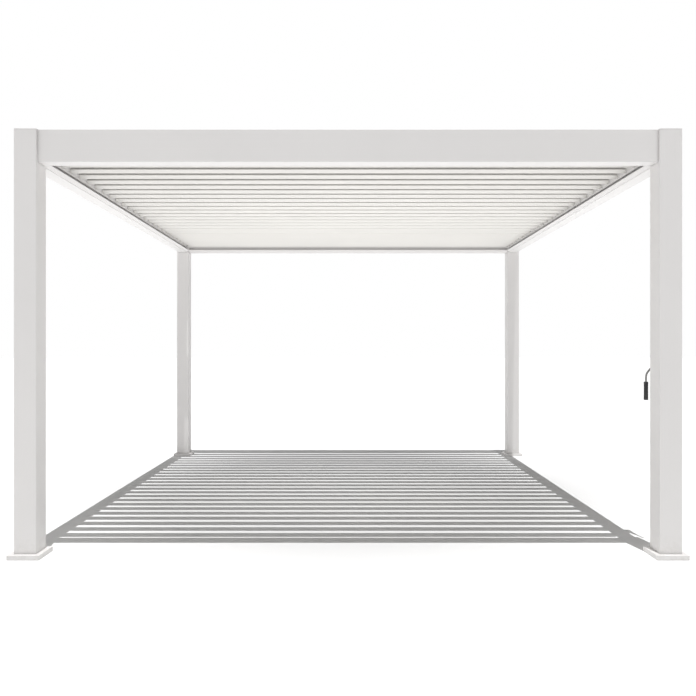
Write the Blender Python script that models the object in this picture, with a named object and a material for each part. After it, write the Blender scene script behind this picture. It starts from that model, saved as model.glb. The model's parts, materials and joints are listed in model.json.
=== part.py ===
"""Louvered pergola: posts on feet, hollow beams with a gutter inside, tilting roof blades and a hand crank.

Metres, +Z up, +Y away from the front. The origin is on the floor, under the middle of the roof.
"""

import math

import bmesh
import bpy
from mathutils import Vector

# Overall size, over the posts.
WIDTH = 4.000
DEPTH = 4.000
HEIGHT = 2.577

# The gap left where two pieces touch.
SEAM = 0.0003

# Posts.
POST = 0.134
POST_WALL = 0.003
POST_ROUND = 0.0025
CAP_THICK = 0.006
CAP_PLUG_DEPTH = 0.018
CAP_CHAMFER = 0.001
PLUG_WALL = 0.004
PLUG_FIT = 0.0006

# Feet: a cover with a skirt, a socket plate under the post and a spigot inside it.
FOOT_MARGIN = 0.030
FOOT_HEIGHT = 0.029
FOOT_SKIN = 0.003
FOOT_PLATE = 0.008
FOOT_CHAMFER = 0.0015
SOCKET_FIT = 0.0008
SPIGOT_HEIGHT = 0.090

# Beams. The gutter slot is a long opening low in the inner wall.
BEAM_WIDTH = 0.0905
BEAM_HEIGHT = 0.195
BEAM_WALL = 0.003
BEAM_ROUND = 0.002
BEAM_RECESS = 0.0235
GUTTER_SLOT_LIFT = 0.056

# The shelf that leads water into the gutter slot. It rises from a step above the beam's bottom to a lip.
SHELF_REACH = 0.025
SHELF_STEP = 0.005
SHELF_LIFT = 0.021
SHELF_THICK = 0.003
LIP_HEIGHT = 0.005
LIP_THICK = 0.0025

# Roof blades.
BLADE_PITCH = 0.150
BLADE_CHORD = 0.160
BLADE_SKIN = 0.0025
BLADE_TILT = math.radians(47)
BLADE_AXIS_LIFT = 0.006
BLADE_LIP_CLEARANCE = 0.0275
BLADE_BEAM_CLEARANCE = 0.0055
BLADE_POST_CLEARANCE = 0.006
BLADE_END_GAP = 0.008
END_PLATE = 0.006
END_PLATE_INSET = 0.0003
NIB_DROP = 0.006
CHAMBER_TOP = 0.0145
CHAMBER_FRONT = -0.045
CHAMBER_SHOULDER = 0.030
SLOT_FRONT = 0.037
SLOT_BACK = 0.0515
SLOT_TOP = 0.012
CHANNEL_DROP = 0.016
CHANNEL_UPSTAND_TOP = -0.005
CHANNEL_DAM_TOP = -0.0115

# Blade pivots.
PIN_RADIUS = 0.005
PIN_PAST_WALL = 0.008
PIN_HOLE_PLAY = 0.0004
COLLAR_RADIUS = 0.009
OVERLAP = 0.002

# Crank, on the right beam's outer face.
CRANK_FROM_BEAM = 0.0175
CRANK_FROM_POST = 0.156
CRANK_BOX_REACH = 0.037
CRANK_BOX_LENGTH = 0.076
CRANK_BOX_HEIGHT = 0.108
CRANK_BOX_LIFT = 0.010
CRANK_BOX_CHAMFER = 0.003
CRANK_NECK_RADIUS = 0.013
CRANK_NECK_HEIGHT = 0.016
ROD_INSERTION = 0.040
ROD_RADIUS = 0.0064
ROD_PLAY = 0.0006
ROD_COLLAR_RADIUS = 0.011
ROD_COLLAR_HEIGHT = 0.024
ROD_DROP = 1.196
ARM_DROP = 0.106
ARM_INWARD = 0.0255
ARM_BACK = 0.132
BEND_RADIUS = 0.026
BEND_STEPS = 4
HANDLE_NECK = 0.0505
GRIP_RADIUS = 0.0142
GRIP_LENGTH = 0.1205
GRIP_BORE_PLAY = 0.0005
GRIP_END_WALL = 0.010
GRIP_CHAMFER = 0.003

# Facets round a full circle.
PIN_FACETS = 10
HOLE_FACETS = 12
ROD_FACETS = 14
GRIP_FACETS = 24
ROUND_STEPS = 2

# Where the beams lie. Side beams run front to back, cross beams left to right.
BEAM_BOTTOM = HEIGHT - BEAM_HEIGHT
SIDE_OUTER = WIDTH / 2 - BEAM_RECESS
SIDE_INNER = SIDE_OUTER - BEAM_WIDTH
CROSS_INNER = DEPTH / 2 - BEAM_RECESS - BEAM_WIDTH
SIDE_SPAN = DEPTH - 2 * (POST + SEAM)
CROSS_SPAN = WIDTH - 2 * (POST + SEAM)
LIP_BOTTOM = BEAM_BOTTOM + SHELF_LIFT
LIP_TOP = LIP_BOTTOM + LIP_HEIGHT

# Where the blades lie. The axis is high enough for a blade to swing over the gutter's lip.
BLADE_SWING = math.hypot(BLADE_CHORD / 2, CHANNEL_DROP + BLADE_AXIS_LIFT)
BLADE_AXIS_HEIGHT = LIP_TOP + BLADE_LIP_CLEARANCE + BLADE_SWING
BLADE_ROOM = 2 * (CROSS_INNER - BLADE_BEAM_CLEARANCE) - BLADE_CHORD
BLADE_COUNT = int(BLADE_ROOM / BLADE_PITCH) + 1
FIRST_BLADE_Y = -BLADE_PITCH * (BLADE_COUNT - 1) / 2
BLADE_END = SIDE_INNER - BLADE_END_GAP

# The first and last blades lose the corners that would reach the posts. Both values are distances from
# the blade's middle.
NOTCH_START = WIDTH / 2 - POST - BLADE_POST_CLEARANCE
NOTCH_EDGE = DEPTH / 2 - POST - BLADE_POST_CLEARANCE + FIRST_BLADE_Y

# Where the crank lies.
CRANK_X = SIDE_OUTER + CRANK_FROM_BEAM
CRANK_Y = POST + CRANK_FROM_POST - DEPTH / 2
CRANK_BOX_BOTTOM = BEAM_BOTTOM + CRANK_BOX_LIFT
ROD_BEND_TOP = CRANK_BOX_BOTTOM - ROD_DROP
ROD_BEND_BOTTOM = ROD_BEND_TOP - ARM_DROP
GRIP_TOP = ROD_BEND_BOTTOM - HANDLE_NECK
GRIP_BOTTOM = GRIP_TOP - GRIP_LENGTH

WHITE_COAT = ((0.80, 0.79, 0.78, 1.0), 0.42, 0.0)
BLADE_COAT = ((0.82, 0.81, 0.79, 1.0), 0.40, 0.0)
ROD_METAL = ((0.30, 0.30, 0.30, 1.0), 0.38, 1.0)
BLACK_PLASTIC = ((0.025, 0.025, 0.027, 1.0), 0.55, 0.0)


def clear_scene():
    for obj in list(bpy.data.objects):
        bpy.data.objects.remove(obj, do_unlink=True)


def add_material(name, look):
    colour, roughness, metallic = look
    material = bpy.data.materials.new(name)
    material.use_nodes = True
    shader = material.node_tree.nodes["Principled BSDF"]
    shader.inputs["Base Color"].default_value = colour
    shader.inputs["Roughness"].default_value = roughness
    shader.inputs["Metallic"].default_value = metallic
    material.diffuse_color = colour
    return material


def add_object(name, mesh, look, location=(0, 0, 0), parent=None):
    obj = bpy.data.objects.new(name, mesh)
    bpy.context.scene.collection.objects.link(obj)
    obj.location = location
    obj.parent = parent
    obj.data.materials.append(add_material(name, look))
    return obj


def add_copy(name, mesh, material, location, parent=None):
    obj = bpy.data.objects.new(name, mesh)
    bpy.context.scene.collection.objects.link(obj)
    obj.location = location
    obj.parent = parent
    obj.material_slots[0].link = "OBJECT"
    obj.material_slots[0].material = material
    return obj


def add_cutter(name, mesh, location=(0, 0, 0)):
    obj = bpy.data.objects.new(name, mesh)
    bpy.context.scene.collection.objects.link(obj)
    obj.location = location
    obj.hide_render = True
    obj.display_type = "WIRE"
    return obj


def boolean(obj, other, operation):
    modifier = obj.modifiers.new(operation.lower() + "_" + other.name, "BOOLEAN")
    modifier.operation = operation
    modifier.solver = "EXACT"
    modifier.object = other


def chamfer(obj, width, angle=math.radians(60)):
    modifier = obj.modifiers.new("edge_chamfer", "BEVEL")
    modifier.width = width
    modifier.segments = 1
    modifier.limit_method = "ANGLE"
    modifier.angle_limit = angle


def mesh_from(name, bm):
    bmesh.ops.recalc_face_normals(bm, faces=bm.faces)
    mesh = bpy.data.meshes.new(name)
    bm.to_mesh(mesh)
    bm.free()
    return mesh


def prism(name, outline, low, high, place):
    """A solid between two flat ends. place(a, b, c) puts outline point (a, b) at distance c in space."""
    bm = bmesh.new()
    near = [bm.verts.new(place(a, b, low)) for a, b in outline]
    far = [bm.verts.new(place(a, b, high)) for a, b in outline]
    bm.faces.new(near)
    bm.faces.new(reversed(far))
    count = len(outline)
    for i in range(count):
        j = (i + 1) % count
        bm.faces.new((near[i], near[j], far[j], far[i]))
    return mesh_from(name, bm)


def tube(name, outer, inner, low, high, place):
    """A straight tube whose outer and inner outlines have the same number of points."""
    bm = bmesh.new()
    rings = []
    for outline in (outer, inner):
        for c in (low, high):
            rings.append([bm.verts.new(place(a, b, c)) for a, b in outline])
    outer_low, outer_high, inner_low, inner_high = rings
    count = len(outer)
    for i in range(count):
        j = (i + 1) % count
        bm.faces.new((outer_low[i], outer_low[j], outer_high[j], outer_high[i]))
        bm.faces.new((inner_low[j], inner_low[i], inner_high[i], inner_high[j]))
        bm.faces.new((outer_low[j], outer_low[i], inner_low[i], inner_low[j]))
        bm.faces.new((outer_high[i], outer_high[j], inner_high[j], inner_high[i]))
    return mesh_from(name, bm)


def along_z(a, b, c):
    return Vector((a, b, c))


def along_x(a, b, c):
    return Vector((c, a, b))


def along_y(a, b, c):
    return Vector((a, c, b))


def rounded_rectangle(low_a, high_a, low_b, high_b, radius, steps=ROUND_STEPS):
    """Outline points, counter-clockwise, with steps facets round each corner."""
    corners = (
        (high_a - radius, high_b - radius, 0),
        (low_a + radius, high_b - radius, 90),
        (low_a + radius, low_b + radius, 180),
        (high_a - radius, low_b + radius, 270),
    )
    points = []
    for a, b, start in corners:
        for i in range(steps + 1):
            angle = math.radians(start + 90 * i / steps)
            points.append((a + radius * math.cos(angle), b + radius * math.sin(angle)))
    return points


def rectangle(low_a, high_a, low_b, high_b):
    return [(high_a, high_b), (low_a, high_b), (low_a, low_b), (high_a, low_b)]


def circle(radius, facets):
    return [
        (radius * math.cos(2 * math.pi * i / facets), radius * math.sin(2 * math.pi * i / facets))
        for i in range(facets)
    ]


def box_mesh(name, size_x, size_y, low_z, high_z):
    outline = rectangle(-size_x / 2, size_x / 2, -size_y / 2, size_y / 2)
    return prism(name, outline, low_z, high_z, along_z)


def square_tube(name, side, wall, low_z, high_z, radius=0.0):
    half = side / 2
    if radius:
        outer = rounded_rectangle(-half, half, -half, half, radius)
        hollow = rounded_rectangle(-half + wall, half - wall, -half + wall, half - wall, radius / 2)
    else:
        outer = rectangle(-half, half, -half, half)
        hollow = rectangle(-half + wall, half - wall, -half + wall, half - wall)
    return tube(name, outer, hollow, low_z, high_z, along_z)


def smooth(mesh, angle=math.radians(35)):
    mesh.shade_smooth()
    mesh.set_sharp_from_angle(angle=angle)


def corner_places():
    """Each post's name ending and the signs of its X and Y."""
    return (
        ("front_left", -1, -1),
        ("front_right", 1, -1),
        ("back_left", -1, 1),
        ("back_right", 1, 1),
    )


def make_post(corner, x, y):
    low = FOOT_PLATE + SEAM
    high = HEIGHT - CAP_THICK - SEAM
    mesh = square_tube("post", POST, POST_WALL, low, high, POST_ROUND)
    smooth(mesh)
    add_object("post_" + corner, mesh, WHITE_COAT, (x, y, 0))


def make_cap(corner, x, y):
    low = HEIGHT - CAP_THICK
    outline = rounded_rectangle(-POST / 2, POST / 2, -POST / 2, POST / 2, POST_ROUND)
    mesh = prism("post_cap", outline, low, HEIGHT, along_z)
    cap = add_object("post_cap_" + corner, mesh, WHITE_COAT, (x, y, 0))
    side = POST - 2 * POST_WALL - 2 * PLUG_FIT
    plug_mesh = square_tube("cap_plug", side, PLUG_WALL, low - CAP_PLUG_DEPTH, low + CAP_THICK / 2)
    plug = add_cutter("cap_plug_" + corner, plug_mesh, (x, y, 0))
    chamfer(cap, CAP_CHAMFER)
    boolean(cap, plug, "UNION")


def make_foot(corner, x, y):
    """A cover on the floor. Its socket plate carries the post, and its spigot stands inside the post."""
    side = POST + 2 * FOOT_MARGIN
    socket = POST + 2 * SOCKET_FIT
    foot = add_object("foot_" + corner, box_mesh("foot", side, side, 0, FOOT_HEIGHT), WHITE_COAT, (x, y, 0))
    chamfer(foot, FOOT_CHAMFER)

    pocket_mesh = box_mesh("foot_pocket", socket, socket, FOOT_PLATE, FOOT_HEIGHT * 2)
    boolean(foot, add_cutter("foot_pocket_" + corner, pocket_mesh, (x, y, 0)), "DIFFERENCE")

    recess_mesh = square_tube(
        "foot_recess",
        side - 2 * FOOT_SKIN,
        (side - socket) / 2 - 2 * FOOT_SKIN,
        -FOOT_HEIGHT,
        FOOT_HEIGHT - FOOT_SKIN,
    )
    boolean(foot, add_cutter("foot_recess_" + corner, recess_mesh, (x, y, 0)), "DIFFERENCE")

    spigot_side = POST - 2 * POST_WALL - 2 * SOCKET_FIT
    spigot_mesh = square_tube("foot_spigot", spigot_side, PLUG_WALL, FOOT_PLATE / 2, SPIGOT_HEIGHT)
    boolean(foot, add_cutter("foot_spigot_" + corner, spigot_mesh, (x, y, 0)), "UNION")


def beam_outline(inner):
    """The extruded section of a beam. First value: outward from the middle of the roof. Second: up.

    It starts at the lip, runs round the outside to the gutter slot's upper edge, and comes back along the
    inside and over the shelf.
    """
    outer = inner + BEAM_WIDTH
    edge = inner - SHELF_REACH
    behind_lip = edge + LIP_THICK
    floor = BEAM_BOTTOM + BEAM_WALL
    slot_top = BEAM_BOTTOM + GUTTER_SLOT_LIFT
    shelf_start = BEAM_BOTTOM + SHELF_STEP
    slope = math.atan2(SHELF_LIFT - SHELF_STEP, SHELF_REACH)
    rise = SHELF_THICK / math.cos(slope)
    floor_end = inner + (shelf_start + rise - floor) / math.tan(slope)
    outside = rounded_rectangle(inner, outer, BEAM_BOTTOM, HEIGHT, BEAM_ROUND)
    inside = rounded_rectangle(
        inner + BEAM_WALL, outer - BEAM_WALL, floor, HEIGHT - BEAM_WALL, BEAM_ROUND / 2
    )
    inside.reverse()
    corner = ROUND_STEPS + 1
    return (
        [(edge, LIP_BOTTOM), (inner, shelf_start)]
        + outside[2 * corner:]
        + outside[:2 * corner]
        + [(inner, slot_top), (inner + BEAM_WALL, slot_top)]
        + inside[2 * corner:]
        + inside[:corner]
        + [(floor_end, floor), (behind_lip, LIP_BOTTOM + rise - LIP_THICK * math.tan(slope))]
        + [(behind_lip, LIP_TOP), (edge, LIP_TOP)]
    )


def make_beam(name, place, sign, inner, span):
    outline = [(sign * a, b) for a, b in beam_outline(inner)]
    mesh = prism(name, outline, -span / 2, span / 2, place)
    smooth(mesh)
    return add_object(name, mesh, WHITE_COAT)


def blade_y(index):
    return FIRST_BLADE_Y + index * BLADE_PITCH


def drill_pivot_holes(beam, sign):
    """One round hole in the beam's inner wall for each blade's pin."""
    bm = bmesh.new()
    radius = PIN_RADIUS + PIN_HOLE_PLAY
    low = SIDE_INNER - BEAM_WALL
    high = SIDE_INNER + 2 * BEAM_WALL
    for index in range(BLADE_COUNT):
        rings = []
        for x in (sign * low, sign * high):
            ring = [
                bm.verts.new((x, blade_y(index) + a, BLADE_AXIS_HEIGHT + b))
                for a, b in circle(radius, HOLE_FACETS)
            ]
            rings.append(ring)
            bm.faces.new(ring)
        for i in range(HOLE_FACETS):
            j = (i + 1) % HOLE_FACETS
            bm.faces.new((rings[0][i], rings[0][j], rings[1][j], rings[1][i]))
    boolean(beam, add_cutter(beam.name + "_holes", mesh_from("pivot_holes", bm)), "DIFFERENCE")


def notch_shelf_ends(beam, sign):
    """Takes the corners where a cross beam's shelf would run into the side beams' shelves."""
    low_y, high_y = sorted((sign * (CROSS_INNER - 2 * SHELF_REACH), sign * (DEPTH / 2 - POST)))
    for side, side_sign in (("left", -1), ("right", 1)):
        end = side_sign * (SIDE_INNER - SHELF_REACH - SEAM)
        low_x, high_x = sorted((end, side_sign * SIDE_INNER))
        outline = rectangle(low_x, high_x, low_y, high_y)
        mesh = prism("shelf_notch", outline, BEAM_BOTTOM + SHELF_STEP, LIP_TOP + LIP_HEIGHT, along_z)
        boolean(beam, add_cutter(beam.name + "_notch_" + side, mesh), "DIFFERENCE")


def make_beams():
    """The side beams' shelves run the whole way, and the cross beams' shelves end against them."""
    for name, sign in (("beam_left", -1), ("beam_right", 1)):
        beam = make_beam(name, along_y, sign, SIDE_INNER, SIDE_SPAN)
        drill_pivot_holes(beam, sign)
    for name, sign in (("beam_front", -1), ("beam_back", 1)):
        beam = make_beam(name, along_x, sign, CROSS_INNER, CROSS_SPAN)
        notch_shelf_ends(beam, sign)


def blade_outline():
    """The blade's section. First value: back from the chord's middle. Second: up, from the underside."""
    front = -BLADE_CHORD / 2
    back = BLADE_CHORD / 2
    skin = BLADE_SKIN
    return [
        (front, -NIB_DROP),
        (front + skin, -NIB_DROP),
        (front + skin, 0),
        (SLOT_FRONT, 0),
        (SLOT_FRONT, SLOT_TOP),
        (SLOT_BACK, SLOT_TOP),
        (SLOT_BACK, -CHANNEL_DROP),
        (back, -CHANNEL_DROP),
        (back, CHANNEL_UPSTAND_TOP),
        (back - skin, CHANNEL_UPSTAND_TOP),
        (back - skin, -CHANNEL_DROP + skin),
        (SLOT_BACK + skin, -CHANNEL_DROP + skin),
        (SLOT_BACK + skin, CHAMBER_TOP),
        (CHAMBER_SHOULDER, CHAMBER_TOP),
        (CHAMBER_FRONT, skin),
        (front, skin),
    ]


def end_plate_outline():
    """The plate that closes the blade's end, a hair inside the section, with a low dam in the channel."""
    inset = END_PLATE_INSET
    front = -BLADE_CHORD / 2 + inset
    back = BLADE_CHORD / 2 - inset
    wall = SLOT_BACK + inset
    return [
        (front, inset),
        (wall, inset),
        (wall, -CHANNEL_DROP + inset),
        (back, -CHANNEL_DROP + inset),
        (back, CHANNEL_DAM_TOP),
        (SLOT_BACK + BLADE_SKIN - inset, CHANNEL_DAM_TOP),
        (SLOT_BACK + BLADE_SKIN - inset, CHAMBER_TOP - inset),
        (CHAMBER_SHOULDER, CHAMBER_TOP - inset),
        (CHAMBER_FRONT, BLADE_SKIN - inset),
        (front, BLADE_SKIN - inset),
    ]


def lowered(outline):
    """The outline with the pivot's axis, rather than the underside, at height zero."""
    return [(a, b - BLADE_AXIS_LIFT) for a, b in outline]


def notch_mesh(edge, sign):
    """The corner that a post takes from a blade's end. edge is -1 at the front and 1 at the back."""
    near, far = sorted((edge * NOTCH_EDGE, edge * BLADE_CHORD))
    outline = rectangle(near, far, -BLADE_CHORD, BLADE_CHORD)
    return prism("notch", outline, sign * NOTCH_START, sign * SIDE_INNER, along_x)


def make_blade_mesh(notched_edge=None):
    """One blade lying closed, its pivot axis along X through the origin."""
    inside = BLADE_END - END_PLATE
    body = add_object(
        "blade", prism("blade", lowered(blade_outline()), -inside, inside, along_x), BLADE_COAT
    )
    for side, sign in (("left", -1), ("right", 1)):
        plate = prism(
            "plate", lowered(end_plate_outline()), sign * (inside - OVERLAP), sign * BLADE_END, along_x
        )
        collar = prism(
            "collar",
            circle(COLLAR_RADIUS, PIN_FACETS),
            sign * (BLADE_END - OVERLAP),
            sign * (SIDE_INNER - SEAM),
            along_x,
        )
        pin_end = SIDE_INNER + BEAM_WALL + PIN_PAST_WALL
        pin = prism(
            "pin", circle(PIN_RADIUS, PIN_FACETS), sign * (BLADE_END - OVERLAP), sign * pin_end, along_x
        )
        for kind, mesh in (("plate", plate), ("collar", collar), ("pin", pin)):
            boolean(body, add_cutter("blade_" + kind + "_" + side, mesh), "UNION")
        if notched_edge:
            notch = add_cutter("blade_notch_" + side, notch_mesh(notched_edge, sign))
            boolean(body, notch, "DIFFERENCE")
    bpy.context.view_layer.update()
    graph = bpy.context.evaluated_depsgraph_get()
    mesh = bpy.data.meshes.new_from_object(body.evaluated_get(graph))
    mesh.name = "blade"
    for obj in [o for o in bpy.data.objects if o.name.startswith("blade")]:
        bpy.data.objects.remove(obj, do_unlink=True)
    smooth(mesh)
    return mesh


def make_blades():
    plain = make_blade_mesh()
    notched = {0: make_blade_mesh(-1), BLADE_COUNT - 1: make_blade_mesh(1)}
    for index in range(BLADE_COUNT):
        name = f"louver_{index + 1:02d}"
        mesh = notched.get(index, plain)
        blade = add_copy(
            name, mesh, add_material(name, BLADE_COAT), (0, blade_y(index), BLADE_AXIS_HEIGHT)
        )
        blade.rotation_euler = (-BLADE_TILT, 0, 0)


def make_crank_box():
    """The drive's housing on the beam, with a neck below that guides the rod."""
    low = SIDE_OUTER + SEAM
    high = low + CRANK_BOX_REACH
    half = CRANK_BOX_LENGTH / 2
    box_top = CRANK_BOX_BOTTOM + CRANK_BOX_HEIGHT
    outline = rectangle(low - CRANK_X, high - CRANK_X, -half, half)
    box = add_object(
        "crank_box",
        prism("crank_box", outline, CRANK_BOX_BOTTOM, box_top, along_z),
        WHITE_COAT,
        (CRANK_X, CRANK_Y, 0),
    )
    chamfer(box, CRANK_BOX_CHAMFER)
    neck = prism(
        "neck",
        circle(CRANK_NECK_RADIUS, GRIP_FACETS),
        CRANK_BOX_BOTTOM - CRANK_NECK_HEIGHT,
        CRANK_BOX_BOTTOM + CRANK_NECK_HEIGHT,
        along_z,
    )
    boolean(box, add_cutter("crank_neck", neck, (CRANK_X, CRANK_Y, 0)), "UNION")
    bore = prism(
        "bore",
        circle(ROD_RADIUS + ROD_PLAY, ROD_FACETS),
        CRANK_BOX_BOTTOM - 2 * CRANK_NECK_HEIGHT,
        CRANK_BOX_BOTTOM + ROD_INSERTION + ROD_PLAY,
        along_z,
    )
    boolean(box, add_cutter("crank_bore", bore, (CRANK_X, CRANK_Y, 0)), "DIFFERENCE")


def rod_path():
    """The rod's centre line from its top to its end, relative to the crank's axis, with rounded bends."""
    handle = Vector((-ARM_INWARD, ARM_BACK, 0))
    corners = [
        Vector((0, 0, CRANK_BOX_BOTTOM + ROD_INSERTION)),
        Vector((0, 0, ROD_BEND_TOP)),
        handle + Vector((0, 0, ROD_BEND_BOTTOM)),
        handle + Vector((0, 0, GRIP_BOTTOM + GRIP_END_WALL)),
    ]
    points = [corners[0]]
    for before, corner, after in zip(corners, corners[1:], corners[2:]):
        start = corner + (before - corner).normalized() * BEND_RADIUS
        end = corner + (after - corner).normalized() * BEND_RADIUS
        for i in range(BEND_STEPS + 1):
            t = i / BEND_STEPS
            points.append(start * (1 - t) ** 2 + corner * 2 * t * (1 - t) + end * t**2)
    points.append(corners[-1])
    return points


def sweep(name, points, radius, facets):
    """A round bar along the points, whose rings stay square to the path."""
    bm = bmesh.new()
    directions = [(b - a).normalized() for a, b in zip(points, points[1:])]
    side = Vector((1, 0, 0))
    rings = []
    for i, point in enumerate(points):
        before = directions[max(i - 1, 0)]
        after = directions[min(i, len(directions) - 1)]
        tangent = (before + after).normalized()
        side = (side - tangent * side.dot(tangent)).normalized()
        other = tangent.cross(side)
        rings.append([bm.verts.new(point + side * a + other * b) for a, b in circle(radius, facets)])
    bm.faces.new(rings[0])
    bm.faces.new(reversed(rings[-1]))
    for near, far in zip(rings, rings[1:]):
        for i in range(facets):
            j = (i + 1) % facets
            bm.faces.new((near[i], near[j], far[j], far[i]))
    return mesh_from(name, bm)


def make_crank_rod():
    mesh = sweep("crank_rod", rod_path(), ROD_RADIUS, ROD_FACETS)
    smooth(mesh)
    rod = add_object("crank_rod", mesh, ROD_METAL, (CRANK_X, CRANK_Y, 0))
    collar_top = CRANK_BOX_BOTTOM - CRANK_NECK_HEIGHT - 2 * SEAM
    collar = prism(
        "rod_collar",
        circle(ROD_COLLAR_RADIUS, GRIP_FACETS),
        collar_top - ROD_COLLAR_HEIGHT,
        collar_top,
        along_z,
    )
    boolean(rod, add_cutter("rod_collar", collar, (CRANK_X, CRANK_Y, 0)), "UNION")


def make_crank_grip():
    """A sleeve that turns on the rod's end, closed at the bottom."""
    bore_radius = ROD_RADIUS + GRIP_BORE_PLAY
    bore_floor = GRIP_BOTTOM + GRIP_END_WALL - GRIP_BORE_PLAY
    profile = [
        (0, GRIP_BOTTOM),
        (GRIP_RADIUS - GRIP_CHAMFER, GRIP_BOTTOM),
        (GRIP_RADIUS, GRIP_BOTTOM + GRIP_CHAMFER),
        (GRIP_RADIUS, GRIP_TOP - GRIP_CHAMFER),
        (GRIP_RADIUS - GRIP_CHAMFER, GRIP_TOP),
        (bore_radius, GRIP_TOP),
        (bore_radius, bore_floor),
        (0, bore_floor),
    ]
    bm = bmesh.new()
    verts = [bm.verts.new((r, 0, z)) for r, z in profile]
    edges = [bm.edges.new(pair) for pair in zip(verts, verts[1:])]
    bmesh.ops.spin(
        bm,
        geom=verts + edges,
        cent=(0, 0, 0),
        axis=(0, 0, 1),
        angle=2 * math.pi,
        steps=GRIP_FACETS,
        use_duplicate=False,
    )
    bmesh.ops.remove_doubles(bm, verts=bm.verts, dist=1e-6)
    mesh = mesh_from("crank_grip", bm)
    smooth(mesh)
    add_object("crank_grip", mesh, BLACK_PLASTIC, (CRANK_X - ARM_INWARD, CRANK_Y + ARM_BACK, 0))


def build():
    clear_scene()
    for corner, x_sign, y_sign in corner_places():
        x = x_sign * (WIDTH - POST) / 2
        y = y_sign * (DEPTH - POST) / 2
        make_post(corner, x, y)
        make_cap(corner, x, y)
        make_foot(corner, x, y)
    make_beams()
    make_blades()
    make_crank_box()
    make_crank_rod()
    make_crank_grip()


build()
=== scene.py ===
"""Looks for the louvered pergola: powder-coated aluminium, a steel crank and a pale floor under a high sun.

Metres, +Z up, +Y away from the front. The origin is on the floor, under the middle of the roof.
"""

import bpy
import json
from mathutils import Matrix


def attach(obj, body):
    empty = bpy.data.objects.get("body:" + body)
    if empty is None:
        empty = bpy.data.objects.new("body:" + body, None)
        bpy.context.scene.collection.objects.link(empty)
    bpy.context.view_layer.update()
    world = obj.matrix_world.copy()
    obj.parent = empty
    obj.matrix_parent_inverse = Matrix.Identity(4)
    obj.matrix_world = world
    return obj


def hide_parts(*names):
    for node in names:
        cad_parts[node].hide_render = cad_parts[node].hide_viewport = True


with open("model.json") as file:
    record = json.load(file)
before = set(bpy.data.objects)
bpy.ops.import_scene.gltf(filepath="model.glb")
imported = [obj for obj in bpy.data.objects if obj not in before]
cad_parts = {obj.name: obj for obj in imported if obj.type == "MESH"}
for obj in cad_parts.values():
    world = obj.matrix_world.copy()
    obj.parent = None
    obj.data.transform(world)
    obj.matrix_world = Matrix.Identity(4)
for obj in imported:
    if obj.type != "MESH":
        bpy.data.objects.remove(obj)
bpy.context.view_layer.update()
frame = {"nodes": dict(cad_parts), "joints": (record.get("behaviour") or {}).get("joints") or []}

import json
import math

import bmesh
import bpy
from mathutils import Vector

# Colours are linear red, green and blue.
COAT_COLOUR = (0.800, 0.784, 0.775)
BLADE_COLOUR = (0.830, 0.815, 0.785)
DUST_COLOUR = (0.52, 0.49, 0.45)
STEEL_COLOUR = (0.25, 0.247, 0.243)
SCREW_COLOUR = (0.55, 0.54, 0.52)
GRIP_COLOUR = (0.022, 0.022, 0.024)
BUSH_COLOUR = (0.11, 0.11, 0.115)

# How rough each finish is.
COAT_ROUGHNESS = 0.42
CASTING_ROUGHNESS = 0.45
BLADE_ROUGHNESS = 0.40
COVER_ROUGHNESS = 0.44
STEEL_ROUGHNESS = 0.34
SCREW_ROUGHNESS = 0.30
GRIP_ROUGHNESS = 0.68
BUSH_ROUGHNESS = 0.50

# Nearly all values of a noise texture lie in this range. A pair of shades, or of amounts added to a
# roughness, goes from its low end to its high end.
NOISE_RANGE = (0.30, 0.70)

# Powder coat. A scale is in features per metre, and a shade multiplies the coat's colour. A range goes from
# the value at which a layer starts to the value at which it is full.
DRIFT_SCALE = 1.7
DRIFT_RANGE = (0.25, 0.75)
DRIFT_SHARE = 0.6
DRIFT_SHADES = (0.975, 1.02)
DRIFT_ROUGHNESS = 0.05
PEEL_SCALE = 520.0
PEEL_DEPTH = 0.00009
GRIT_SCALE = 2600.0
GRIT_DEPTH = 0.00002
STREAK_SCALE_ACROSS = 420.0
STREAK_SCALE_ALONG = 0.6
STREAK_RANGE = (0.35, 0.75)
STREAK_DEPTH = 0.00003
STREAK_SHADE = 0.965
STREAK_STRENGTH = 0.5
STREAK_ROUGHNESS = 0.03
DUST_HEIGHT = 0.16
DUST_SCALE = 34.0
DUST_RANGE = (0.42, 0.72)
DUST_STRENGTH = 0.32
DUST_DULLING = 0.8
EDGE_RADIUS = 0.0009
EDGE_SAMPLES = 6
EDGE_RANGE = (0.995, 0.80)
EDGE_SHADE = 0.93
EDGE_STRENGTH = 0.35
EDGE_POLISH = 0.08
# Painted shade: the coat is drawn darker in grooves and tight corners, where ambient occlusion finds them.
PAINTED_CREVICE_REACH = 0.03
PAINTED_CREVICE_SAMPLES = 6
PAINTED_CREVICE_RANGE = (0.75, 0.25)
CREVICE_PAINTED_SHADE = 0.50
WIDE_CREVICE_PAINTED_SHADE = 0.80

# Brushed metal.
BRUSH_SCALE_ACROSS = 1800.0
BRUSH_SCALE_ALONG = 40.0
BRUSH_DEPTH = 0.00002
BRUSH_SHADES = (0.86, 1.12)
PATCH_SCALE = 55.0
PATCH_RANGE = (0.55, 0.80)
PATCH_SHADE = 0.72
PATCH_STRENGTH = 0.35
PATCH_ROUGHNESS = (-0.06, 0.10)
METAL_EDGE_RADIUS = 0.0005
# The steel's edges are drawn lighter: wear, and partly a painted highlight.
METAL_EDGE_WEAR_AND_HIGHLIGHT = 1.45
METAL_EDGE_STRENGTH = 0.5

# Moulded plastic.
GRAIN_SCALE = 1500.0
GRAIN_DEPTH = 0.00006
POLISH_SCALE = 45.0
POLISH_SHADES = (0.85, 1.35)
POLISH_ROUGHNESS = (-0.12, 0.08)
PLASTIC_EDGE_RADIUS = 0.0006
# The grip's edges are drawn lighter: wear, and partly a painted highlight.
PLASTIC_EDGE_WEAR_AND_HIGHLIGHT = 2.2
PLASTIC_EDGE_STRENGTH = 0.6

# Edges of added pieces that bend more than this stay sharp.
SHARP_ANGLE = math.radians(35)

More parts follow.
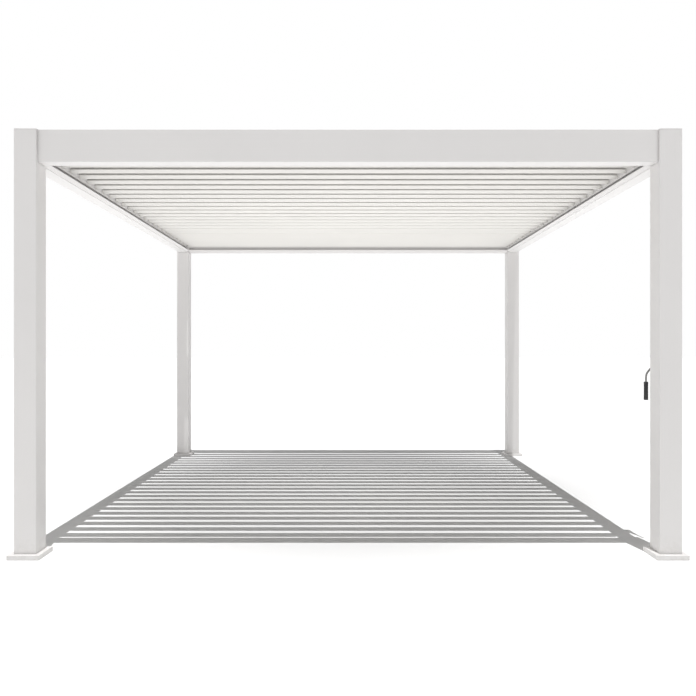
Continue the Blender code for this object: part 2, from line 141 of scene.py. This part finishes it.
# The beams: how far out their inner faces are, their hollow, and the wall behind the gutter.
BEAM_FACE = 1.886
HOLLOW_LOW = 2.385
HOLLOW_HIGH = 2.574
HOLLOW_HALF_LENGTH = 1.8650
GUTTER_DEPTH = 0.034
GUTTER_WALL = 0.0025
GUTTER_FILLET = 0.006
GUTTER_SEAM = 0.0003

# The blades' ends, and the thrust rings round the collars that carry their pins.
BLADE_END = 1.878
COLLAR_RADIUS = 0.009
BUSH_RADIUS = 0.0135
BUSH_PLAY = 0.0004
BUSH_EDGE = 0.0008
BUSH_FACETS = 40

# The screws in each blade's end plate: where they are in the closed blade's section, from its pivot axis.
BLADE_TILT = math.radians(47)
PLATE_SCREWS = ((-0.0205, -0.0028), (0.0440, 0.0020))
PLATE_SCREW_RADIUS = 0.0026
PLATE_SCREW_HEIGHT = 0.0014

# The crank's rod, its collar with a cross pin, and its grip.
ROD_RADIUS = 0.0064
ROD_TOP = 2.432
ROD_BEND_TOP = 1.196
ROD_BEND_BOTTOM = 1.090
ROD_END = 0.929
ROD_FACETS = 40
BEND_RADIUS = 0.026
BEND_STEPS = 10
ROD_COLLAR_RADIUS = 0.011
ROD_COLLAR_TOP = 2.3754
ROD_COLLAR_HEIGHT = 0.024
ROD_COLLAR_EDGE = 0.0014
ROD_COLLAR_BORE = ROD_RADIUS * 0.9
PIN_RADIUS = 0.0022
PIN_EDGE = PIN_RADIUS * 0.3
PIN_REACH = ROD_COLLAR_RADIUS + 0.0009
PIN_FACETS = 20
GRIP_RADIUS = 0.0142
GRIP_TOP = 1.0395
GRIP_BOTTOM = 0.919
GRIP_WAIST = 0.0007
GRIP_WAIST_STEPS = 11
GRIP_EDGE = 0.0035
GRIP_MOUTH_RADIUS = ROD_RADIUS + 0.0005
GRIP_MOUTH_DEPTH = 0.006
GRIP_FACETS = 64

# The drive housing's outer face, and its cover plate with screws.
BOX_BOTTOM = 2.392
BOX_HEIGHT = 0.108
BOX_LENGTH = 0.076
BOX_FACE = 2.0138
COVER_MARGIN = 0.006
COVER_THICK = 0.0016
COVER_EDGE = 0.0006
COVER_ROUND = 0.006
COVER_ROUND_STEPS = 6
SCREW_RADIUS = 0.0036
SCREW_HEIGHT = 0.0018
SCREW_INSET = 0.011
SCREW_FACETS = 20

# The camera, with its lens and sensor in millimetres.
CAMERA_PLACE = (0.0, -6.048, 1.262)
LENS = 35.0
SENSOR = 36.0

# Light: the way the sun's rays travel, and levels near the brightness that each light gives a white surface
# that faces it. Angles are in degrees. The fill is a lamp just above the floor, for the light that the
# sunlit floor throws back.
SUN_TRAVEL = (-0.0254, 0.1315, -1.0)
SUN_LEVEL = 0.88
SUN_ANGLE = 0.05
HORIZON_LEVEL = 0.27
ZENITH_LEVEL = 0.06
FRONT_LEVEL = 0.27
LEFT_LEVEL = 0.34
FILL_LEVEL = 0.42
FILL_SIZE = (4.0, 3.6)
FILL_SPREAD = 100.0
FILL_HEIGHT = 0.004

# The floor: how white it is seen within the first reach of the middle and past the second, and how white it
# is for the light that it throws back. The darker floor seen under the roof is painted shade that deepens
# its shadow.
FLOOR_SIZE = 160.0
FLOOR_SEGMENTS = 8
FLOOR_DROP = 0.0005
FLOOR_UNDER_PAINTED_SHADE = 0.67
FLOOR_AWAY = 1.0
FLOOR_BOUNCE = 0.94
PAINTED_SHADE_REACH = 1.4
AWAY_REACH = 3.0


def connect(tree, socket, value):
    """Links a socket to another node's output, or gives it a plain value."""
    if isinstance(value, bpy.types.NodeSocket):
        tree.links.new(value, socket)
    else:
        socket.default_value = value


def add_node(tree, kind, **inputs):
    """A shader node whose inputs are named by keyword, with _ for a space."""
    made = tree.nodes.new("ShaderNode" + kind)
    for name, value in inputs.items():
        connect(tree, made.inputs[name.replace("_", " ")], value)
    return made


def noise(tree, place, scale, detail=2.0, roughness=0.5):
    made = add_node(tree, "TexNoise", Vector=place, Scale=scale, Detail=detail, Roughness=roughness)
    return made.outputs[0]


def drawn_noise(tree, place, across, along, length_axis):
    """Noise drawn out into lines along one axis."""
    scale = [across] * 3
    scale[length_axis] = along
    return noise(tree, add_node(tree, "Mapping", Vector=place, Scale=scale).outputs[0], 1.0)


def calculate(tree, operation, a, b=0.0):
    made = tree.nodes.new("ShaderNodeMath")
    made.operation = operation
    connect(tree, made.inputs[0], a)
    connect(tree, made.inputs[1], b)
    return made.outputs[0]


def vector_value(tree, operation, *vectors):
    """A number worked out from vectors, such as a length."""
    made = tree.nodes.new("ShaderNodeVectorMath")
    made.operation = operation
    for socket, vector in zip(made.inputs, vectors):
        connect(tree, socket, vector)
    return made.outputs["Value"]


def remap(tree, value, low, high, to_low=0.0, to_high=1.0):
    made = add_node(
        tree, "MapRange", Value=value, From_Min=low, From_Max=high, To_Min=to_low, To_Max=to_high
    )
    return made.outputs[0]


def mix_colour(tree, factor, a, b):
    """A mix of two colours. The node has its colours at inputs 6 and 7 and at output 2."""
    made = tree.nodes.new("ShaderNodeMix")
    made.data_type = "RGBA"
    connect(tree, made.inputs["Factor"], factor)
    connect(tree, made.inputs[6], a)
    connect(tree, made.inputs[7], b)
    return made.outputs[2]


def shade(colour, factor):
    return tuple(channel * factor for channel in colour) + (1.0,)


def vary(tree, value, colour, shades):
    """The colour between two of its shades, as a noise value goes from low to high."""
    low, high = shades
    factor = remap(tree, value, *NOISE_RANGE)
    return mix_colour(tree, factor, shade(colour, low), shade(colour, high))


def edge_wear_and_highlight(tree, coat, edge, strength, worn_and_lit):
    """The coat with a share of another colour on its edges. A darker colour there is wear; a lighter one,
    on the steel and the grip, is wear and partly a painted highlight.
    """
    return mix_colour(tree, calculate(tree, "MULTIPLY", edge, strength), coat, worn_and_lit)


def new_material(name):
    material = bpy.data.materials.new(name)
    material.use_nodes = True
    tree = material.node_tree
    return material, tree, tree.nodes["Principled BSDF"]


def set_surface(tree, shader, colour, rough, normal):
    connect(tree, shader.inputs["Base Color"], colour)
    connect(tree, shader.inputs["Roughness"], rough)
    connect(tree, shader.inputs["Normal"], normal)


def rounded_edges(tree, radius=EDGE_RADIUS):
    """A normal that rounds sharp edges, and a mask that is 1 on those edges."""
    bevel = add_node(tree, "Bevel", Radius=radius)
    bevel.samples = EDGE_SAMPLES
    flat = add_node(tree, "NewGeometry").outputs["Normal"]
    along = vector_value(tree, "DOT_PRODUCT", bevel.outputs[0], flat)
    return bevel.outputs[0], remap(tree, along, *EDGE_RANGE)


def painted_shade_in_crevices(tree):
    """1 deep in grooves and tight corners and 0 in the open, found by ambient occlusion: the mask for
    painted shade.
    """
    made = add_node(tree, "AmbientOcclusion", Distance=PAINTED_CREVICE_REACH)
    made.samples = PAINTED_CREVICE_SAMPLES
    return remap(tree, made.outputs["AO"], *PAINTED_CREVICE_RANGE)


def bump(tree, height, depth, normal):
    made = add_node(tree, "Bump", Strength=1.0, Distance=depth, Height=height, Normal=normal)
    return made.outputs[0]


def settled_dust(tree, place):
    """Specks of dust that thicken towards the floor."""
    height = add_node(tree, "SeparateXYZ", Vector=place).outputs["Z"]
    low = remap(tree, height, DUST_HEIGHT, 0.0)
    specks = remap(tree, noise(tree, place, DUST_SCALE, detail=6.0, roughness=0.65), *DUST_RANGE)
    return calculate(tree, "MULTIPLY", calculate(tree, "MULTIPLY", low, specks), DUST_STRENGTH)


def powder_coat(
    name, colour, length_axis=None, dusty=False, roughness=COAT_ROUGHNESS, crevice_painted_shade=CREVICE_PAINTED_SHADE
):
    """Satin powder coat: orange peel, grit, faint draw lines along the extrusion, softened edges, and
    painted shade in grooves and corners.
    """
    material, tree, shader = new_material(name)
    place = add_node(tree, "TexCoord").outputs["Object"]
    drift = noise(tree, place, DRIFT_SCALE, detail=3.0)
    peel = noise(tree, place, PEEL_SCALE)
    grit = noise(tree, place, GRIT_SCALE, detail=1.0)
    normal, edge = rounded_edges(tree)

    drift_part = calculate(tree, "MULTIPLY", drift, DRIFT_SHARE)
    grit_part = calculate(tree, "MULTIPLY", grit, 1 - DRIFT_SHARE)
    coat = vary(tree, calculate(tree, "ADD", drift_part, grit_part), colour, DRIFT_SHADES)
    rough = remap(tree, drift, *DRIFT_RANGE, roughness - DRIFT_ROUGHNESS, roughness + DRIFT_ROUGHNESS)
    normal = bump(tree, grit, GRIT_DEPTH, normal)
    normal = bump(tree, peel, PEEL_DEPTH, normal)
    if length_axis is not None:
        streaks = drawn_noise(tree, place, STREAK_SCALE_ACROSS, STREAK_SCALE_ALONG, length_axis)
        streaked = remap(tree, streaks, *STREAK_RANGE, 0.0, STREAK_STRENGTH)
        coat = mix_colour(tree, streaked, coat, shade(colour, STREAK_SHADE))
        streak_rough = remap(tree, streaks, *NOISE_RANGE, -STREAK_ROUGHNESS, STREAK_ROUGHNESS)
        rough = calculate(tree, "ADD", rough, streak_rough)
        normal = bump(tree, streaks, STREAK_DEPTH, normal)
    if dusty:
        dust = settled_dust(tree, place)
        coat = mix_colour(tree, dust, coat, shade(DUST_COLOUR, 1.0))
        rough = calculate(tree, "ADD", rough, calculate(tree, "MULTIPLY", dust, DUST_DULLING))
    coat = edge_wear_and_highlight(tree, coat, edge, EDGE_STRENGTH, shade(colour, EDGE_SHADE))
    # Painted shade: the coat is darker in grooves and tight corners.
    coat = mix_colour(tree, painted_shade_in_crevices(tree), coat, shade(colour, crevice_painted_shade))
    rough = calculate(tree, "SUBTRACT", rough, calculate(tree, "MULTIPLY", edge, EDGE_POLISH))
    set_surface(tree, shader, coat, rough, normal)
    return material


def brushed_metal(name, colour, roughness, length_axis=2):
    """Satin steel with fine brushing along its length, a few duller patches, and lighter edges that are
    wear and partly a painted highlight.
    """
    material, tree, shader = new_material(name)
    place = add_node(tree, "TexCoord").outputs["Object"]
    lines = drawn_noise(tree, place, BRUSH_SCALE_ACROSS, BRUSH_SCALE_ALONG, length_axis)
    patches = noise(tree, place, PATCH_SCALE, detail=4.0, roughness=0.6)
    normal, edge = rounded_edges(tree, METAL_EDGE_RADIUS)
    coat = vary(tree, lines, colour, BRUSH_SHADES)
    dulled = remap(tree, patches, *PATCH_RANGE, 0.0, PATCH_STRENGTH)
    coat = mix_colour(tree, dulled, coat, shade(colour, PATCH_SHADE))
    coat = edge_wear_and_highlight(tree, coat, edge, METAL_EDGE_STRENGTH, shade(colour, METAL_EDGE_WEAR_AND_HIGHLIGHT))
    low, high = PATCH_ROUGHNESS
    rough = remap(tree, patches, *NOISE_RANGE, roughness + low, roughness + high)
    set_surface(tree, shader, coat, rough, bump(tree, lines, BRUSH_DEPTH, normal))
    shader.inputs["Metallic"].default_value = 1.0
    return material


def moulded_plastic(name, colour, roughness):
    """Moulded plastic with a spark-eroded grain, smoother and rougher patches, and soft edges drawn
    lighter: wear, and partly a painted highlight.
    """
    material, tree, shader = new_material(name)
    place = add_node(tree, "TexCoord").outputs["Object"]
    grain = add_node(tree, "TexVoronoi", Vector=place, Scale=GRAIN_SCALE).outputs[0]
    polish = noise(tree, place, POLISH_SCALE, detail=3.0)
    normal, edge = rounded_edges(tree, PLASTIC_EDGE_RADIUS)
    coat = vary(tree, polish, colour, POLISH_SHADES)
    coat = edge_wear_and_highlight(tree, coat, edge, PLASTIC_EDGE_STRENGTH, shade(colour, PLASTIC_EDGE_WEAR_AND_HIGHLIGHT))
    low, high = POLISH_ROUGHNESS
    rough = remap(tree, polish, *NOISE_RANGE, roughness + low, roughness + high)
    set_surface(tree, shader, coat, rough, bump(tree, grain, GRAIN_DEPTH, normal))
    return material


def link_mesh(name, bm, material):
    bmesh.ops.recalc_face_normals(bm, faces=bm.faces)
    mesh = bpy.data.meshes.new(name)
    bm.to_mesh(mesh)
    bm.free()
    mesh.shade_smooth()
    mesh.set_sharp_from_angle(angle=SHARP_ANGLE)
    mesh.materials.append(material)
    obj = bpy.data.objects.new(name, mesh)
    bpy.context.scene.collection.objects.link(obj)
    return obj


def add_ring(bm, points):
    return [bm.verts.new(point) for point in points]


def join_rings(bm, near, far):
    """Closes the strip between two rings. A ring may be one point, which makes a fan."""
    count = max(len(near), len(far))
    for i in range(count):
        j = (i + 1) % count
        corners = [near[i % len(near)], near[j % len(near)], far[j % len(far)], far[i % len(far)]]
        unique = list(dict.fromkeys(corners))
        if len(unique) > 2:
            bm.faces.new(unique)


def circle_angles(count):
    return [2 * math.pi * i / count for i in range(count)]


def turn(bm, profile, facets, place, closed=False):
    """Adds a body turned from (radius, distance) points. place(a, b, c) puts distance c along the axis."""
    angles = circle_angles(facets)
    rings = []
    for radius, distance in profile:
        if radius <= 0:
            around = [place(0, 0, distance)]
        else:
            around = [place(radius * math.cos(t), radius * math.sin(t), distance) for t in angles]
        rings.append(add_ring(bm, around))
    pairs = list(zip(rings, rings[1:]))
    if closed:
        pairs.append((rings[-1], rings[0]))
    for near, far in pairs:
        join_rings(bm, near, far)


def arc(centre_a, centre_b, radius, start, end, steps=5):
    """Points round an arc, whose angles in degrees count from the first direction to the second."""
    points = []
    for i in range(steps + 1):
        angle = math.radians(start + (end - start) * i / steps)
        points.append((centre_a + radius * math.cos(angle), centre_b + radius * math.sin(angle)))
    return points


def joint_place(body):
    """Where the joint that carries a body lies at rest."""
    places = {joint["child"]: joint["pos_m"] for joint in frame["joints"]}
    return Vector(places[body])


def below_joint(body):
    """The point at floor height below a body's joint."""
    place = joint_place(body)
    place.z = 0
    return place


def blade_axes():
    """Each blade's name and the middle of its pivot axis."""
    return [(name, joint_place(name)) for name in frame["nodes"] if name.startswith("louver_")]


def dress_frame(side, cross):
    """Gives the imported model's nodes their finishes. The first start that fits a name counts.

    The rod and the grip need none here, because added pieces take their places.
    """
    upright = powder_coat("post_coat", COAT_COLOUR, 2, dusty=True)
    cast = powder_coat(
        "casting_coat",
        COAT_COLOUR,
        dusty=True,
        roughness=CASTING_ROUGHNESS,
        crevice_painted_shade=WIDE_CREVICE_PAINTED_SHADE,
    )
    blade = powder_coat("blade_coat", BLADE_COLOUR, 0, roughness=BLADE_ROUGHNESS)
    finishes = {
        "post_cap_": cast,
        "post_": upright,
        "foot_": cast,
        "beam_left": side,
        "beam_right": side,
        "beam_": cross,
        "louver_": blade,
        "crank_box": cast,
    }
    for name, node in frame["nodes"].items():
        for start, material in finishes.items():
            if name.startswith(start):
                node.material_slots[0].material = material
                break


def gutter_wall_outline():
    """The wall's section, with fillets towards the gutter, as points of distance outward and height."""
    face = BEAM_FACE + GUTTER_DEPTH
    low = HOLLOW_LOW + GUTTER_SEAM
    high = HOLLOW_HIGH - GUTTER_SEAM
    centre = face - GUTTER_FILLET
    points = arc(centre, low + GUTTER_FILLET, GUTTER_FILLET, -90, 0)
    points += arc(centre, high - GUTTER_FILLET, GUTTER_FILLET, 0, 90)
    return points + [(face + GUTTER_WALL, high), (face + GUTTER_WALL, low)]


def add_gutter_wall(beam, sign, along_x, material):
    """The wall inside a hollow beam that parts the gutter from the rest of the beam."""
    outline = gutter_wall_outline()
    bm = bmesh.new()
    rings = []
    for end in (-HOLLOW_HALF_LENGTH, HOLLOW_HALF_LENGTH):
        places = [(end, sign * a, b) if along_x else (sign * a, end, b) for a, b in outline]
        rings.append(add_ring(bm, places))
        bm.faces.new(rings[-1])
    join_rings(bm, *rings)
    wall = link_mesh(beam + "_gutter_wall", bm, material)
    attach(wall, "frame")


def add_bushes():
    """A plastic thrust ring round the collar at each end of every blade."""
    plastic = moulded_plastic("bush_plastic", BUSH_COLOUR, BUSH_ROUGHNESS)
    near = BLADE_END + BUSH_PLAY
    far = BEAM_FACE - BUSH_PLAY
    middle = (near + far) / 2
    inner = COLLAR_RADIUS + BUSH_PLAY
    profile = [
        (inner, near),
        (BUSH_RADIUS - BUSH_EDGE, near),
        (BUSH_RADIUS, near + BUSH_EDGE),
        (BUSH_RADIUS, middle),
        (BUSH_RADIUS - 2 * BUSH_EDGE, middle + BUSH_EDGE),
        (BUSH_RADIUS - 2 * BUSH_EDGE, far),
        (inner, far),
    ]
    for name, axis in blade_axes():
        bm = bmesh.new()
        for sign in (-1, 1):
            turn(bm, profile, BUSH_FACETS, lambda a, b, c: axis + Vector((sign * c, a, b)), closed=True)
        rings = link_mesh(name + "_bushes", bm, plastic)
        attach(rings, name)


def screw_profile(radius, height):
    """A pan head with a round drive recess, from its middle out to the face it sits on."""
    return [
        (0, height * 0.35),
        (radius * 0.45, height * 0.35),
        (radius * 0.50, height),
        (radius * 0.75, height),
        (radius * 0.95, height * 0.6),
        (radius, 0),
    ]


def add_plate_screws():
    """Two small screws in the end plate at each end of every blade."""
    steel = brushed_metal("plate_screw_steel", SCREW_COLOUR, SCREW_ROUGHNESS, 0)
    profile = screw_profile(PLATE_SCREW_RADIUS, PLATE_SCREW_HEIGHT)
    across = math.cos(BLADE_TILT)
    up = math.sin(BLADE_TILT)
    for name, axis in blade_axes():
        bm = bmesh.new()
        for sign in (-1, 1):
            for a, b in PLATE_SCREWS:
                centre = axis + Vector((sign * BLADE_END, a * across + b * up, b * across - a * up))
                turn(bm, profile, SCREW_FACETS, lambda p, q, c: centre + Vector((sign * c, p, q)))
        screws = link_mesh(name + "_screws", bm, steel)
        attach(screws, name)


def rod_path():
    """The rod's centre line from its top to its end, with rounded bends."""
    axis = below_joint("crank")
    handle = below_joint("grip")
    corners = [
        axis + Vector((0, 0, ROD_TOP)),
        axis + Vector((0, 0, ROD_BEND_TOP)),
        handle + Vector((0, 0, ROD_BEND_BOTTOM)),
        handle + Vector((0, 0, ROD_END)),
    ]
    points = [corners[0]]
    for before, corner, after in zip(corners, corners[1:], corners[2:]):
        start = corner + (before - corner).normalized() * BEND_RADIUS
        end = corner + (after - corner).normalized() * BEND_RADIUS
        for i in range(BEND_STEPS + 1):
            t = i / BEND_STEPS
            points.append(start * (1 - t) ** 2 + corner * 2 * t * (1 - t) + end * t**2)
    points.append(corners[-1])
    return points


def sweep(bm, points, radius, facets):
    """Adds a round bar along the points, whose rings stay square to the path."""
    directions = [(b - a).normalized() for a, b in zip(points, points[1:])]
    angles = circle_angles(facets)
    side = Vector((1, 0, 0))
    rings = []
    for i, point in enumerate(points):
        tangent = (directions[max(i - 1, 0)] + directions[min(i, len(directions) - 1)]).normalized()
        side = (side - tangent * side.dot(tangent)).normalized()
        other = tangent.cross(side)
        around = [point + (side * math.cos(t) + other * math.sin(t)) * radius for t in angles]
        rings.append(add_ring(bm, around))
    bm.faces.new(rings[0])
    bm.faces.new(reversed(rings[-1]))
    for near, far in zip(rings, rings[1:]):
        join_rings(bm, near, far)


def add_rod(steel):
    bm = bmesh.new()
    sweep(bm, rod_path(), ROD_RADIUS, ROD_FACETS)
    rod = link_mesh("crank_rod_smooth", bm, steel)
    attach(rod, "crank")
    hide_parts("crank_rod")


def add_collar(steel):
    """The rod's collar below the drive housing, with a cross pin through it."""
    axis = below_joint("crank")
    low = ROD_COLLAR_TOP - ROD_COLLAR_HEIGHT
    outer = ROD_COLLAR_RADIUS - ROD_COLLAR_EDGE
    profile = [(ROD_COLLAR_BORE, low)]
    profile += arc(outer, low + ROD_COLLAR_EDGE, ROD_COLLAR_EDGE, -90, 0)
    profile += arc(outer, ROD_COLLAR_TOP - ROD_COLLAR_EDGE, ROD_COLLAR_EDGE, 0, 90)
    profile += [(ROD_COLLAR_BORE, ROD_COLLAR_TOP)]
    bm = bmesh.new()
    turn(bm, profile, ROD_FACETS, lambda a, b, c: axis + Vector((a, b, c)), closed=True)

    middle = axis + Vector((0, 0, (low + ROD_COLLAR_TOP) / 2))
    half_pin = [(PIN_RADIUS, PIN_REACH - PIN_EDGE), (PIN_RADIUS - PIN_EDGE, PIN_REACH), (0, PIN_REACH)]
    pin_profile = [(radius, -reach) for radius, reach in reversed(half_pin)] + half_pin
    turn(bm, pin_profile, PIN_FACETS, lambda a, b, c: middle + Vector((c, a, b)))
    collar = link_mesh("crank_collar", bm, steel)
    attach(collar, "crank")


def add_grip():
    """The moulded grip: a round sleeve with a slight waist and soft ends, open round the rod at the top."""
    axis = below_joint("grip")
    middle = (GRIP_TOP + GRIP_BOTTOM) / 2
    half = (GRIP_TOP - GRIP_BOTTOM) / 2
    outer = GRIP_RADIUS - GRIP_EDGE
    mouth_floor = GRIP_TOP - GRIP_MOUTH_DEPTH
    profile = [(0, GRIP_BOTTOM), (GRIP_RADIUS * 0.5, GRIP_BOTTOM)]
    profile += arc(outer, GRIP_BOTTOM + GRIP_EDGE, GRIP_EDGE, -90, 0)
    for i in range(1 - GRIP_WAIST_STEPS, GRIP_WAIST_STEPS):
        t = i / GRIP_WAIST_STEPS
        profile.append((GRIP_RADIUS - GRIP_WAIST * (1 - t * t), middle + t * (half - GRIP_EDGE)))
    profile += arc(outer, GRIP_TOP - GRIP_EDGE, GRIP_EDGE, 0, 90)
    profile += [(GRIP_MOUTH_RADIUS, GRIP_TOP), (GRIP_MOUTH_RADIUS, mouth_floor), (0, mouth_floor)]
    bm = bmesh.new()
    turn(bm, profile, GRIP_FACETS, lambda a, b, c: axis + Vector((a, b, c)))
    plastic = moulded_plastic("grip_plastic", GRIP_COLOUR, GRIP_ROUGHNESS)
    grip = link_mesh("crank_grip_sleeve", bm, plastic)
    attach(grip, "grip")
    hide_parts("crank_grip")


def cover_edges():
    """The cover plate's low and high Y, and its low and high Z."""
    middle = joint_place("crank").y
    reach = BOX_LENGTH / 2 - COVER_MARGIN
    low_z = BOX_BOTTOM + COVER_MARGIN
    high_z = BOX_BOTTOM + BOX_HEIGHT - COVER_MARGIN
    return middle - reach, middle + reach, low_z, high_z


def cover_ring(x, inset):
    """Points round the cover plate, with round corners, at distance x from the roof's middle."""
    low_y, high_y, low_z, high_z = cover_edges()
    corners = [
        (high_y - COVER_ROUND, high_z - COVER_ROUND, 0),
        (low_y + COVER_ROUND, high_z - COVER_ROUND, 90),
        (low_y + COVER_ROUND, low_z + COVER_ROUND, 180),
        (high_y - COVER_ROUND, low_z + COVER_ROUND, 270),
    ]
    points = []
    for y, z, start in corners:
        points += arc(y, z, COVER_ROUND - inset, start, start + 90, COVER_ROUND_STEPS)
    return [(x, y, z) for y, z in points]


def add_box_cover():
    """The drive housing's cover plate, with a small chamfer."""
    face = BOX_FACE + COVER_THICK
    bm = bmesh.new()
    rings = [
        add_ring(bm, cover_ring(BOX_FACE, 0.0)),
        add_ring(bm, cover_ring(face - COVER_EDGE, 0.0)),
        add_ring(bm, cover_ring(face, COVER_EDGE)),
    ]
    bm.faces.new(reversed(rings[0]))
    bm.faces.new(rings[-1])
    for near, far in zip(rings, rings[1:]):
        join_rings(bm, near, far)
    coat = powder_coat("cover_coat", COAT_COLOUR, roughness=COVER_ROUGHNESS)
    cover = link_mesh("crank_box_cover", bm, coat)
    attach(cover, "frame")


def add_box_screws():
    """Four screws at the corners of the cover plate."""
    low_y, high_y, low_z, high_z = cover_edges()
    inset = SCREW_INSET - COVER_MARGIN
    profile = screw_profile(SCREW_RADIUS, SCREW_HEIGHT)
    bm = bmesh.new()
    for y in (low_y + inset, high_y - inset):
        for z in (low_z + inset, high_z - inset):
            centre = Vector((BOX_FACE + COVER_THICK, y, z))
            turn(bm, profile, SCREW_FACETS, lambda a, b, c: centre + Vector((c, a, b)))
    steel = brushed_metal("screw_steel", SCREW_COLOUR, SCREW_ROUGHNESS, 0)
    screws = link_mesh("crank_box_screws", bm, steel)
    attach(screws, "frame")


def seen_rays(tree):
    """1 for rays that show the background: straight from the camera, in a reflection or through glass."""
    path = add_node(tree, "LightPath")
    seen = calculate(tree, "MAXIMUM", path.outputs["Is Camera Ray"], path.outputs["Is Glossy Ray"])
    return calculate(tree, "MAXIMUM", seen, path.outputs["Is Transmission Ray"])


def add_floor():
    """A pale floor that shows white in the light and keeps the object's shadow; seen under the roof it is
    darker, a painted shade.
    """
    material, tree, shader = new_material("floor")
    reach = vector_value(tree, "LENGTH", add_node(tree, "TexCoord").outputs["Object"])
    # Painted shade: the floor is seen darker near the middle, under the roof, which deepens the roof's
    # shadow.
    white = remap(tree, reach, PAINTED_SHADE_REACH, AWAY_REACH, FLOOR_UNDER_PAINTED_SHADE, FLOOR_AWAY)
    white.node.interpolation_type = "SMOOTHSTEP"
    colour = mix_colour(tree, seen_rays(tree), shade((1, 1, 1), FLOOR_BOUNCE), white)
    connect(tree, shader.inputs["Base Color"], colour)
    shader.inputs["Roughness"].default_value = 1.0
    shader.inputs["Specular IOR Level"].default_value = 0.0
    bm = bmesh.new()
    bmesh.ops.create_grid(bm, x_segments=FLOOR_SEGMENTS, y_segments=FLOOR_SEGMENTS, size=FLOOR_SIZE / 2)
    floor = link_mesh("floor", bm, material)
    floor.location.z = -FLOOR_DROP


def add_world():
    """A soft sky, brighter at the horizon and towards the front and left, with a plain white background."""
    world = bpy.data.worlds.new("studio")
    bpy.context.scene.world = world
    world.use_nodes = True
    tree = world.node_tree
    background = tree.nodes["Background"]
    direction = add_node(tree, "TexCoord").outputs["Generated"]
    axes = add_node(tree, "SeparateXYZ", Vector=direction).outputs
    sky = remap(tree, calculate(tree, "ABSOLUTE", axes["Z"]), 0.0, 1.0, HORIZON_LEVEL, ZENITH_LEVEL)
    sky = calculate(tree, "ADD", sky, remap(tree, axes["Y"], 0.0, -1.0, 0.0, FRONT_LEVEL))
    sky = calculate(tree, "ADD", sky, remap(tree, axes["X"], 0.0, -1.0, 0.0, LEFT_LEVEL))
    connect(tree, background.inputs["Strength"], remap(tree, seen_rays(tree), 0.0, 1.0, sky, 1.0))
    background.inputs["Color"].default_value = (1, 1, 1, 1)


def add_sun():
    sun = bpy.data.lights.new("sun", "SUN")
    sun.energy = SUN_LEVEL * math.pi
    sun.angle = math.radians(SUN_ANGLE)
    lamp = bpy.data.objects.new("sun", sun)
    lamp.rotation_mode = "QUATERNION"
    lamp.rotation_quaternion = Vector(SUN_TRAVEL).to_track_quat("-Z", "Y")
    bpy.context.scene.collection.objects.link(lamp)


def add_bounce():
    """The light that the sunlit floor throws back up under the roof."""
    fill = bpy.data.lights.new("bounce", "AREA")
    fill.shape = "RECTANGLE"
    fill.size, fill.size_y = FILL_SIZE
    fill.spread = math.radians(FILL_SPREAD)
    fill.energy = FILL_LEVEL * math.pi * fill.size * fill.size_y
    lamp = bpy.data.objects.new("bounce", fill)
    lamp.location = (0, 0, FILL_HEIGHT)
    lamp.rotation_euler = (math.pi, 0, 0)
    lamp.visible_camera = False
    lamp.visible_glossy = False
    bpy.context.scene.collection.objects.link(lamp)


def add_camera():
    data = bpy.data.cameras.new("camera")
    data.lens = LENS
    data.sensor_width = SENSOR
    camera = bpy.data.objects.new("camera", data)
    camera.location = CAMERA_PLACE
    camera.rotation_euler = (math.pi / 2, 0, 0)
    bpy.context.scene.collection.objects.link(camera)
    bpy.context.scene.camera = camera


bpy.context.scene.view_settings.view_transform = "Standard"
side_coat = powder_coat("side_beam_coat", COAT_COLOUR, 1, crevice_painted_shade=WIDE_CREVICE_PAINTED_SHADE)
cross_coat = powder_coat("cross_beam_coat", COAT_COLOUR, 0, crevice_painted_shade=WIDE_CREVICE_PAINTED_SHADE)
dress_frame(side_coat, cross_coat)
add_gutter_wall("beam_left", -1, False, side_coat)
add_gutter_wall("beam_right", 1, False, side_coat)
add_gutter_wall("beam_front", -1, True, cross_coat)
add_gutter_wall("beam_back", 1, True, cross_coat)
add_bushes()
add_plate_screws()
rod_steel = brushed_metal("rod_steel", STEEL_COLOUR, STEEL_ROUGHNESS)
add_rod(rod_steel)
add_collar(rod_steel)
add_grip()
add_box_cover()
add_box_screws()
add_floor()
add_world()
add_sun()
add_bounce()
add_camera()
